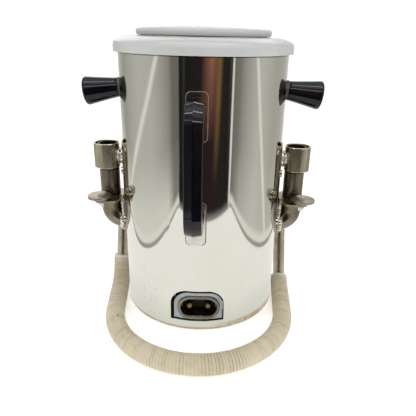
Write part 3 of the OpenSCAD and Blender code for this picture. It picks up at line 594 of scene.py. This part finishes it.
# ---------------------------------------------------------------- materials on the CAD nodes
def dress_frame():
    """Gives every CAD node its finish, and returns the finishes by material slot."""
    finishes = {
        "plated_body": plated_metal(),
        "white_collar": white_gloss(),
        "black_grip": black_gloss(),
        "flange_grey": flange_metal(),
        "bracket_nickel": worn_nickel("bracket_nickel", (0.46, 0.415, 0.315), (0.33, 0.29, 0.21),
                                      (0.15, 0.27)),
        "cam_nickel": worn_nickel("cam_nickel", (0.56, 0.52, 0.42), (0.40, 0.35, 0.27), (0.2, 0.34)),
        "hoop_metal": worn_nickel("hoop_metal", (0.66, 0.61, 0.50), (0.48, 0.43, 0.34), (0.18, 0.32)),
        "foot_plates": worn_nickel("foot_plates", (0.78, 0.77, 0.73), (0.66, 0.65, 0.60), (0.08, 0.16)),
        "fasteners": worn_nickel("fasteners", (0.92, 0.90, 0.86), (0.68, 0.65, 0.58), (0.12, 0.24)),
        "inner_steel": worn_nickel("inner_steel", (0.62, 0.61, 0.58), (0.52, 0.51, 0.48), (0.22, 0.36)),
        "inlet_metal": worn_nickel("inlet_metal", (0.27, 0.245, 0.205), (0.17, 0.152, 0.125), (0.16, 0.28)),
        "spreader_aluminium": worn_nickel("spreader_aluminium", (0.74, 0.74, 0.73), (0.62, 0.62, 0.61),
                                          (0.3, 0.45)),
        "heater_sheath": worn_nickel("heater_sheath", (0.26, 0.23, 0.20), (0.15, 0.13, 0.12), (0.4, 0.6)),
        "inlet_grey": two_tone("inlet_grey", (0.46, 0.51, 0.55), (0.38, 0.42, 0.45), 120, (0.28, 0.42),
                               (0.06, 0.0001), (500, 3, 0.5), Coat_Weight=0.2),
        "insulator": two_tone("insulator", (0.018, 0.014, 0.012), (0.04, 0.03, 0.024), 180, (0.5, 0.7),
                              (0.1, 0.0002)),
        "brass_contacts": two_tone("brass_contacts", (0.27, 0.195, 0.10), (0.16, 0.11, 0.055), 320,
                                   (0.28, 0.5), (0.08, 0.0001), Metallic=1.0),
        "seal_rubber": rubber("seal_rubber", (0.045, 0.045, 0.045), (0.025, 0.025, 0.025)),
        "cork_seal": rubber("cork_seal", (0.26, 0.16, 0.08), (0.14, 0.08, 0.04)),
        "wire_cover": rubber("wire_cover", (0.34, 0.10, 0.06), (0.22, 0.07, 0.05)),
        "cord_wrap": wrap_cord("cord_wrap", (0.73, 0.65, 0.49), (0.63, 0.55, 0.385), (0.52, 0.42, 0.26)),
        "white_band": wrap_cord("white_band", (0.86, 0.84, 0.78), (0.78, 0.74, 0.66), (0.66, 0.58, 0.46)),
    }
    slot_of = {p["node"]: p["material_slot"] for p in frame["record"]["subparts"]}
    clip_lo, clip_hi, _ = size_of("tube_clip_right")
    tab_top = size_of("tab_plate_right")[1].z
    painted_rim_highlight, painted_shade_line = (0.98, 0.94, 0.80), (0.02, 0.017, 0.012)
    # The strap's top and bottom rims get painted highlight lines.
    strap = worn_nickel("strap_nickel", (0.56, 0.51, 0.40), (0.47, 0.42, 0.32), (0.2, 0.28),
                        rings=((clip_lo.z, painted_rim_highlight), (clip_hi.z, painted_rim_highlight)))
    # The tube gets painted shade lines just under the strap and just above the tab.
    tube = worn_nickel("tube_nickel", (0.30, 0.27, 0.205), (0.21, 0.185, 0.135), (0.16, 0.27),
                       rings=((clip_lo.z - 1.1 * MM, painted_shade_line), (tab_top + 0.3 * MM, painted_shade_line)))
    bright = worn_nickel("bright_heads", (0.98, 0.97, 0.95), (0.90, 0.89, 0.86), (0.42, 0.55))
    dull = worn_nickel("dull_heads", (0.44, 0.37, 0.25), (0.30, 0.25, 0.16), (0.4, 0.55))
    special = {"tube_clip": strap, "socket_tube": tube, "cam_screw": bright, "side_screws": dull}
    for name, obj in NODES.items():
        look = next((mat for key, mat in special.items() if name.startswith(key)), finishes[slot_of[name]])
        for slot in obj.material_slots:
            slot.material = look
    return finishes


# ---------------------------------------------------------------- pieces that stand in for CAD nodes
def finish_piece(obj, body, slot, nodes=(), mat=None):
    """Gives a piece its material, its own or the finish of its slot, hangs it from its body and hides the
    CAD nodes it stands for.
    """
    obj.data.materials.append(mat or FINISH[slot])
    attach(obj, body)
    if nodes:
        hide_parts(*nodes)


def soften(nodes, width, segments=2):
    """Rounds the sharp edges of CAD nodes a little, so that they catch the light. A name that ends in _ is
    a pair, left and right."""
    for name in [n + side for n in nodes for side in (SIDES if n.endswith("_") else ("",))]:
        obj = NODES[name]
        weld = obj.modifiers.new("weld", "WELD")
        weld.merge_threshold = 2e-6
        bevel(obj, width, segments)
        obj.modifiers.new("normals", "WEIGHTED_NORMAL").keep_sharp = False


def make_collar():
    """The white collar: rolled lower lip, round shoulder and a nearly flat top with a turned-down mouth."""
    lo, hi, _ = size_of("rim_ring")
    r, top = hi.x, hi.z
    foot = WALL_TOP - 0.4 * MM
    mouth = 63 * MM
    mouth_foot = top - 12 * MM
    lip, shoulder, skin, mouth_edge = 0.7 * MM, 5.6 * MM, 1.6 * MM, 1 * MM
    gap_r, seat_z = BODY_R + 1.2 * MM, WALL_TOP + 1 * MM
    wall_in, web_in = BODY_R - 1.5 * MM, BODY_R - 3.4 * MM
    centre_z = WALL_TOP + 5.4 * MM
    profile = [(gap_r, seat_z), (gap_r, foot + lip)]
    profile += arc(gap_r + lip, foot + lip, lip, 180, 270, 4)
    profile += arc(r - lip, foot + lip, lip, 270, 360, 4)
    profile += [(r, centre_z)]
    profile += arc(r - shoulder, centre_z, shoulder, 0, 68, 16)[1:]
    x0, z0 = profile[-1]
    x1 = mouth + 2 * mouth_edge
    for i in range(1, 9):
        t = i / 8
        profile.append((x0 + (x1 - x0) * t, top - (top - z0) * (1 - t) ** 2.6))
    profile += arc(mouth + mouth_edge, top - mouth_edge, mouth_edge, 80, 180, 6)
    profile += [(mouth, mouth_foot), (mouth + skin, mouth_foot), (mouth + skin, top - 2.7 * MM),
                (web_in, top - 3.6 * MM), (web_in, lo.z), (wall_in, lo.z), (wall_in, seat_z)]
    obj = lathe("collar", profile, 192, closed=True)
    finish_piece(obj, "kettle", "white_collar", ["rim_ring"])


def make_lid():
    """The loose lid: a low dome with a rounded edge."""
    lo, hi, _ = size_of("lid_disc")
    r, z0, top = hi.x, lo.z, hi.z
    edge = 3.2 * MM
    profile = [(0.0, z0), (r - 2 * MM, z0), (r - 0.7 * MM, z0 + 0.5 * MM)]
    profile += arc(r - edge, z0 + edge, edge, -28, 80, 16)
    x0, h0 = profile[-1]
    for i in range(1, 17):
        t = i / 16
        profile.append((x0 * (1 - t), h0 + (top - h0) * (1 - (1 - t) ** 2.2)))
    obj = lathe("lid_top", profile, 192)
    finish_piece(obj, "lid", "white_collar", ["lid_disc"], white_gloss("white_lid", 0.0, 0.08))


def make_inlet_plate():
    """The blue-grey plate behind the wall's opening: curved like the wall, with an oval hole."""
    lo, hi, _ = size_of("inlet_faceplate")
    _, ring_hi, ring_mid = size_of("inlet_shroud")
    outer_r = -lo.y
    x0, x1 = lo.x, hi.x - 0.9 * MM
    z0, z1 = lo.z + 0.4 * MM, hi.z - 1.2 * MM
    corner, clearance, thick = 15 * MM, 0.15 * MM, 1.4 * MM
    outline = [(x0, z0)]
    outline += [(x0, z0 + (z1 - corner - z0) * i / 10) for i in range(1, 10)]
    outline += arc(x0 + corner, z1 - corner, corner, 180, 90, 16)
    outline += [(x0 + corner + (x1 - x0 - 2 * corner) * i / 10, z1) for i in range(1, 10)]
    outline += arc(x1 - corner, z1 - corner, corner, 90, 0, 16)
    outline += [(x1, z0 + (z1 - corner - z0) * (1 - i / 10)) for i in range(1, 11)]
    outline += [(x1 + (x0 - x1) * i / 24, z0) for i in range(1, 24)]
    hole_w, hole_h = ring_hi.x + clearance, ring_hi.z - ring_mid.z + clearance
    run = hole_w - hole_h
    verts = []
    rings = 4
    for back in (0, 1):
        for k in range(rings + 1):
            t = k / rings
            for x, z in outline:
                a = math.atan2(z - ring_mid.z, x)
                side = math.copysign(min(1.0, abs(math.cos(a)) * 1.6), math.cos(a))
                hx = side * run + hole_h * math.cos(a)
                hz = ring_mid.z + hole_h * math.sin(a)
                px, pz = x + (hx - x) * t, z + (hz - z) * t
                r = outer_r - back * thick
                verts.append((px, -math.sqrt(r * r - px * px), pz))
    n = len(outline)
    layer = (rings + 1) * n
    faces = []
    for k in range(rings):
        for j in range(n):
            m = (j + 1) % n
            here, there = k * n + j, k * n + m
            faces.append((here, there, there + n, here + n))
            faces.append((layer + there, layer + here, layer + here + n, layer + there + n))
    for j in range(n):
        m = (j + 1) % n
        faces.append((j, layer + j, layer + m, m))
        faces.append((rings * n + j, rings * n + m, layer + rings * n + m, layer + rings * n + j))
    obj = new_object("inlet_plate", verts, faces)
    face_outwards(obj)
    bevel(obj, 0.6 * MM, 3)
    finish_piece(obj, "kettle", "inlet_grey", ["inlet_faceplate"])


def make_knob(side):
    """A plain black cone with a softly domed end, drooping from the wall."""
    name = "knob_right" if side > 0 else "knob_left"
    droop, washer, length = 7.5, 2 * MM, 35 * MM
    neck_r, end_r, edge, chamfer, dome = 9.5 * MM, 14.2 * MM, 2.4 * MM, 0.5 * MM, 1.2 * MM
    z_start, z_end = washer + chamfer, washer + length
    profile = [(0.0, washer), (neck_r - chamfer, washer), (neck_r, z_start)]
    for i in range(1, 13):
        t = i / 12
        profile.append((neck_r + (end_r - neck_r) * t ** 1.12, z_start + (length - edge - 2 * chamfer) * t))
    profile += arc(end_r - edge, z_end - edge, edge, 12, 78, 8)
    x0, h0 = profile[-1]
    for i in range(1, 7):
        t = i / 6
        profile.append((x0 * (1 - t), h0 + (z_end + dome - h0) * (1 - (1 - t) ** 2)))
    lean = Matrix.Rotation(math.radians(side * (90 + droop)), 4, "Y")
    obj = lathe("side_" + name, profile, 96, Matrix.Translation((side * BODY_R, 0, KNOB_Z)) @ lean)
    finish_piece(obj, "kettle", "black_grip", [name])


def grip_section(half, depth, gable):
    """Half outline of the grip, from the middle of its inner face round to the ridge: (across, outwards)."""
    inner, outer, ridge = 1.6 * MM, 1.3 * MM, 1.6 * MM
    pts = [(0.0, 0.0)] + arc(half - inner, inner, inner, -90, 0, 6)
    slope = math.atan2(gable, half)
    pts.append((half, depth - gable - outer))
    pts += [(half - outer + outer * math.cos(a), depth - gable - outer * 0.6 + outer * math.sin(a))
            for a in [(math.pi / 2 - slope) * i / 5 for i in range(1, 6)]]
    ridge_foot = depth - gable * ridge / half * 0.9 - 0.15 * MM
    return pts + [(ridge, ridge_foot), (ridge * 0.5, depth - 0.2 * MM), (0.0, depth)]


def make_grip():
    """The black grip: one gabled section swept down, round both bends and back to the foot plates."""
    lo, hi, _ = size_of("handle_grip")
    half, depth, gable, bend, reach = 7.9 * MM, 14 * MM, 2 * MM, 24 * MM, 43 * MM
    inner_r = bend - depth
    bend_y = bend - BODY_R - reach
    root_r = BODY_R + 1.75 * MM
    right = grip_section(half, depth, gable)
    ring = right + [(-x, d) for x, d in right[-2:0:-1]]
    top, foot = hi.z - bend, lo.z + bend
    stations = [(bend_y * i / 8 - root_r * (1 - i / 8), hi.z - depth, 90.0) for i in range(9)]
    turns = [90 * i / 20 for i in range(1, 20)]
    stations += [(*arc(bend_y, top, inner_r, 90 + a, 0, 1)[0], 90 + a) for a in turns]
    stations += [(bend_y - inner_r, top - (top - foot) * i / 24, 180.0) for i in range(25)]
    stations += [(*arc(bend_y, foot, inner_r, 180 + a, 0, 1)[0], 180 + a) for a in turns]
    stations += [(bend_y * (1 - i / 8) - root_r * i / 8, lo.z + depth, 270.0) for i in range(9)]
    verts = []
    last = len(stations) - 1
    for k, (y, z, a) in enumerate(stations):
        ny, nz = math.cos(math.radians(a)), math.sin(math.radians(a))
        for x, d in ring:
            at_wall = k in (0, last)
            verts.append((x, -math.sqrt(root_r ** 2 - x ** 2) if at_wall else y + ny * d, z + nz * d))
    n = len(ring)
    faces = grid_faces(len(stations), n)
    faces.append(tuple(range(n)))
    faces.append(tuple(range(last * n, last * n + n))[::-1])
    obj = new_object("rear_grip", verts, faces)
    face_outwards(obj, place=Matrix.Rotation(GRIP_AZ, 4, "Z"))
    finish_piece(obj, "kettle", "black_grip", ["handle_grip"])


def make_foot_line(node, mat, width):
    """A thin line along the edge of one foot plate, where it meets the round wall."""
    lo, hi, _ = size_of(node)
    corner = 4 * MM
    x, top, foot = (hi.x - lo.x) / 2 - corner, hi.z - corner, lo.z + corner
    line = []
    for cx, cz, start in ((x, top, 0), (-x, top, 90), (-x, foot, 180), (x, foot, 270)):
        line += arc(cx, cz, corner, start, start + 90, 8)
    r = BODY_R + 0.25 * MM
    sides = 8
    verts = []
    for i, (u, z) in enumerate(line):
        a = GRIP_AZ - math.pi / 2 + u / BODY_R
        out = Vector((math.cos(a), math.sin(a), 0))
        (u0, z0), (u1, z1) = line[i - 1], line[(i + 1) % len(line)]
        run = Vector((-(u1 - u0) * math.sin(a), (u1 - u0) * math.cos(a), z1 - z0)).normalized()
        across = run.cross(out)
        for j in range(sides):
            b = TAU * j / sides
            verts.append(out * (r + width * math.sin(b)) + Vector((0, 0, z)) + across * width * math.cos(b))
    obj = new_object("foot_line_" + node.split("_")[-1], verts, grid_faces(len(line), sides, True, True))
    face_outwards(obj)
    finish_piece(obj, "kettle", "foot_plates", mat=mat)


# ---------------------------------------------------------------- the hoop's wrap
HOOP_R = 89.5 * MM
HOOP_Y = -57.5 * MM
HOOP_FLARE = math.radians(5)
BEND_R = 20 * MM
BEND_START_Y = -12 * MM
PIVOT = Vector((93 * MM, 28 * MM, 93 * MM))
WRAP_R = 10 * MM
BAND_R = 9.6 * MM
TABLE_GAP = 0.05 * MM


class HoopLine:
    """The hoop's centreline on the right side, as in the CAD model: bow, straight side, bend and arm."""

    def __init__(self, z):
        self.side = Vector((math.sin(HOOP_FLARE), math.cos(HOOP_FLARE), 0))
        self.bow_end = Vector((HOOP_R * math.cos(HOOP_FLARE), HOOP_Y - HOOP_R * math.sin(HOOP_FLARE), z))
        self.start = self.bow_end + self.side * ((BEND_START_Y - self.bow_end.y) / self.side.y)
        arm = (PIVOT - self.start).normalized()
        for _ in range(12):
            arm = (PIVOT - self.bend_exit(arm)).normalized()
        self.arm = arm
        self.exit = self.bend_exit(arm)
        self.up = (arm - self.side * arm.dot(self.side)).normalized()
        self.angle = math.acos(arm.dot(self.side))

    def on_bend(self, up, t):
        return self.start + up * BEND_R + BEND_R * (self.side * math.sin(t) - up * math.cos(t))

    def bend_exit(self, arm):
        """Where the bend ends, if the arm runs that way."""
        up = (arm - self.side * arm.dot(self.side)).normalized()
        return self.on_bend(up, math.acos(arm.dot(self.side)))

    def bend(self, degrees_from, degrees_to):
        """Points on the bend, about one for each degree."""
        run = degrees_to - degrees_from
        n = max(2, round(abs(run)))
        return [self.on_bend(self.up, math.radians(degrees_from + run * i / n)) for i in range(n + 1)]

    def half_bow(self):
        """From the straight side's lower end to the middle of the bow."""
        n = 90
        turns = [(math.pi / 2 - HOOP_FLARE) * (1 - i / n) for i in range(n + 1)]
        return [Vector((HOOP_R * math.sin(a), HOOP_Y - HOOP_R * math.cos(a), self.start.z)) for a in turns]


def mirrored(points):
    """The same points on the kettle's other side."""
    return [Vector((-p.x, p.y, p.z)) for p in points]


def resample(points, step):
    """Points at even steps along a polyline, and the step that was used."""
    lengths = [0.0]
    for a, b in zip(points, points[1:]):
        lengths.append(lengths[-1] + (b - a).length)
    n = max(2, round(lengths[-1] / step))
    out = []
    k = 0
    for i in range(n + 1):
        s = lengths[-1] * i / n
        while k < len(points) - 2 and lengths[k + 1] < s:
            k += 1
        t = (s - lengths[k]) / max(1e-9, lengths[k + 1] - lengths[k])
        out.append(points[k].lerp(points[k + 1], min(1.0, t)))
    return out, lengths[-1] / n


def sweep_frames(line, up):
    """For each point of a line: the point, and two directions across the line that don't twist along it."""
    n = len(line)
    for i, p in enumerate(line):
        along = (line[min(i + 1, n - 1)] - line[max(i - 1, 0)]).normalized()
        across = along.cross(up).normalized()
        up = across.cross(along).normalized()
        yield p, across, up


def wound_tube(name, points, radius, pitch, groove, per_turn, seed):
    """A tube of cord turns wound close together: each turn is a low ridge, and turns vary a little."""
    rng = random.Random(seed)
    line, step = resample(points, pitch / per_turn)
    turns = [rng.uniform(-1, 1) for _ in range(int(len(line) / per_turn) + 40)]
    verts, shade = [], []
    sides, n = 36, len(line)
    core, worn, end_round, end_drop = 0.7 * radius, 0.10 * MM, 1.2 * MM, 0.7 * MM
    for i, (p, across, up) in enumerate(sweep_frames(line, Vector((0, 0, 1)))):
        drift = 0.8 * noise.noise(Vector((i * step / 0.05, seed, 0)))
        fade = min(1.0, min(i, n - 1 - i) * step / end_round)
        for j in range(sides):
            a = TAU * j / sides
            phase = i * step / pitch + drift + a / TAU + 20
            turn = turns[int(phase) % len(turns)]
            part = phase - math.floor(phase)
            ridge = math.sin(math.pi * part) ** 0.22
            r = radius - groove * (1 - ridge) - worn * (1 + turn) - end_drop * (1 - fade) ** 2
            verts.append(p + (across * math.cos(a) + up * math.sin(a)) * r)
            # Painted shade for the grooves, stronger for some turns; the material reads it through the
            # groove attribute.
            shade.append(min(1.0, 1.8 * (1 - ridge)) * (0.25 + 0.75 * max(0.0, turn) ** 0.7))
    faces = grid_faces(n, sides)
    for i, flip in ((0, False), (n - 1, True)):
        p = line[i]
        base = len(verts)
        for j in range(sides):
            v = verts[i * sides + j]
            verts.append(p + (v - p).normalized() * core)
            shade.append(0.3)
        for j in range(sides):
            k = (j + 1) % sides
            quad = (i * sides + j, i * sides + k, base + k, base + j)
            faces.append(quad if flip else quad[::-1])
        faces.append(tuple(range(base, base + sides))[::1 if flip else -1])
    obj = new_object(name, verts, faces)
    mark = obj.data.attributes.new("groove", "FLOAT", "POINT")
    mark.data.foreach_set("value", shade)
    face_outwards(obj)
    return obj


def make_wrap():
    """The winding on the hoop, which ends higher on the left arm than on the right, and its end bands."""
    line = HoopLine(WRAP_R + TABLE_GAP)
    wrap_right, band_right = 40, 52
    run_left, band_left = 10 * MM, 14 * MM
    right = line.bend(wrap_right, 0)[:-1] + [line.start.lerp(line.bow_end, i / 20) for i in range(20)]
    left = [line.bow_end.lerp(line.start, i / 20) for i in range(1, 20)]
    left += line.bend(0, math.degrees(line.angle)) + [line.exit + line.arm * run_left]
    bow = line.half_bow()
    route = right + bow + mirrored(bow[-2::-1] + left)
    wrap = wound_tube("hoop_cord_wrap", route, WRAP_R, 2.9 * MM, 0.34 * MM, per_turn=9, seed=4)
    finish_piece(wrap, "hoop", "cord_wrap", ["hoop_wrap"])
    ends = {"right": line.bend(wrap_right, band_right),
            "left": mirrored([line.exit + line.arm * run_left, line.exit + line.arm * band_left])}
    unseen = [wrap, NODES["hoop_rod"]]
    for tag, points in ends.items():
        band = wound_tube("hoop_end_band_" + tag, points, BAND_R, 1.3 * MM, 0.22 * MM, per_turn=8, seed=9)
        finish_piece(band, "hoop", "white_band", ["hoop_end_bands"])
        unseen.append(band)
    for obj in unseen:
        obj.visible_glossy = False


# ---------------------------------------------------------------- weld beads on the side brackets
def bead(name, points, radius, seed):
    """A rough run of weld metal along a line."""
    line, step = resample([Vector(p) for p in points], 0.6 * MM)
    sides, n = 14, len(line)
    shift = Vector((seed * 7.3, 0, 0))
    end_round, ripple_run, lumps_per_metre = 3.2 * MM, 0.42 * MM, 420
    verts = []
    for i, (p, across, up) in enumerate(sweep_frames(line, Vector((0.3, 0.2, 1)).normalized())):
        end = math.sin(math.pi * min(1.0, (min(i, n - 1 - i) * step + 0.4 * MM) / end_round) / 2)
        ripple = 1 + 0.14 * math.sin(i * step / ripple_run)
        for j in range(sides):
            a = TAU * j / sides
            d = across * math.cos(a) + up * math.sin(a)
            lump = 0.34 * noise.noise((p + d * radius) * lumps_per_metre + shift)
            verts.append(p + d * radius * end * (ripple + lump))
    faces = grid_faces(n, sides)
    faces.append(tuple(range(sides))[::-1])
    faces.append(tuple(range((n - 1) * sides, n * sides)))
    obj = new_object(name, verts, faces)
    face_outwards(obj)
    finish_piece(obj, "kettle", "bracket_nickel", mat=WELD)


def make_welds():
    """Beads on both sides: lug to plate and strap, leg to plate, elbow to leg, and tab to leg."""
    leg_lo, leg_hi, _ = size_of("elbow_leg_right")
    clip_lo, clip_hi, _ = size_of("tube_clip_right")
    tab_lo, _, _ = size_of("tab_plate_right")
    tube_lo, tube_hi, _ = size_of("socket_tube_right")
    wall_x = size_of("bracket_plate_right")[1].x + 0.7 * MM
    tube_r = tube_hi.y
    strap_x = tube_hi.x - 2 * tube_r - 0.8 * MM
    elbow_x, elbow_z = leg_hi.x + 0.4 * MM, tube_lo.z + tube_r
    tab_x, tab_z = leg_hi.x + 0.3 * MM, tab_lo.z - 0.2 * MM
    lug_y, lug_lo, lug_hi = 6 * MM, clip_lo.z + 6 * MM, clip_hi.z - 7 * MM
    for s, tag in ((1, "right"), (-1, "left")):
        for y, name in ((-lug_y, "rear_" + tag), (lug_y, "front_" + tag)):
            leg_y = math.copysign(leg_hi.y, y)
            bead("weld_lug_" + name, [(s * wall_x, y, lug_lo), (s * wall_x, y, lug_hi)],
                 2.9 * MM, 3 * s + y * 900)
            bead("weld_strap_" + name, [(s * strap_x, y, lug_lo + 2 * MM), (s * strap_x, y, lug_hi)],
                 2.5 * MM, 7 * s + y * 800)
            bead("weld_leg_" + name, [(s * leg_lo.x, leg_y, leg_lo.z + 17 * MM),
                                      (s * (leg_lo.x + 1 * MM), leg_y, tab_lo.z - 2 * MM)],
                 2.1 * MM, 5 * s + y * 700)
        rim = [(s * elbow_x, tube_r * math.sin(a), elbow_z - tube_r * math.cos(a))
               for a in [math.radians(10 * i) for i in range(-13, 14)]]
        bead("weld_elbow_" + tag, rim, 2.6 * MM, 11 * s)
        tab_y = (leg_lo.y + 1 * MM, leg_hi.y - 1 * MM)
        bead("weld_tab_" + tag, [(s * tab_x, y, tab_z) for y in tab_y], 1.6 * MM, 17 * s)


make_camera()
make_stage()
make_reflections()
make_light()
FINISH = dress_frame()
WELD = weld_metal()
make_collar()
make_lid()
for side in (-1, 1):
    make_knob(side)
make_grip()
pale_line = rubber("pale_edge_line", (0.30, 0.22, 0.13), (0.20, 0.14, 0.08))
brown_line = rubber("brown_edge_line", (0.13, 0.085, 0.04), (0.08, 0.05, 0.022))
make_foot_line("handle_foot_upper", pale_line, 0.5 * MM)
make_foot_line("handle_foot_lower", brown_line, 0.75 * MM)
make_inlet_plate()
make_wrap()
make_welds()
soften(["tab_plate_", "elbow_leg_", "tube_clip_", "cam_disc_", "cam_screw_"], 0.4 * MM)
soften(["bracket_plate_", "socket_tube_"], 0.25 * MM)
soften(["plate_rivets", "side_screws", "cam_nuts", "hoop_pivot_nuts", "cam_washers"], 0.35 * MM)
soften(["handle_foot_upper", "handle_foot_lower", "inlet_body"], 0.5 * MM)
soften(["inlet_shroud"], 1.2 * MM, 4)
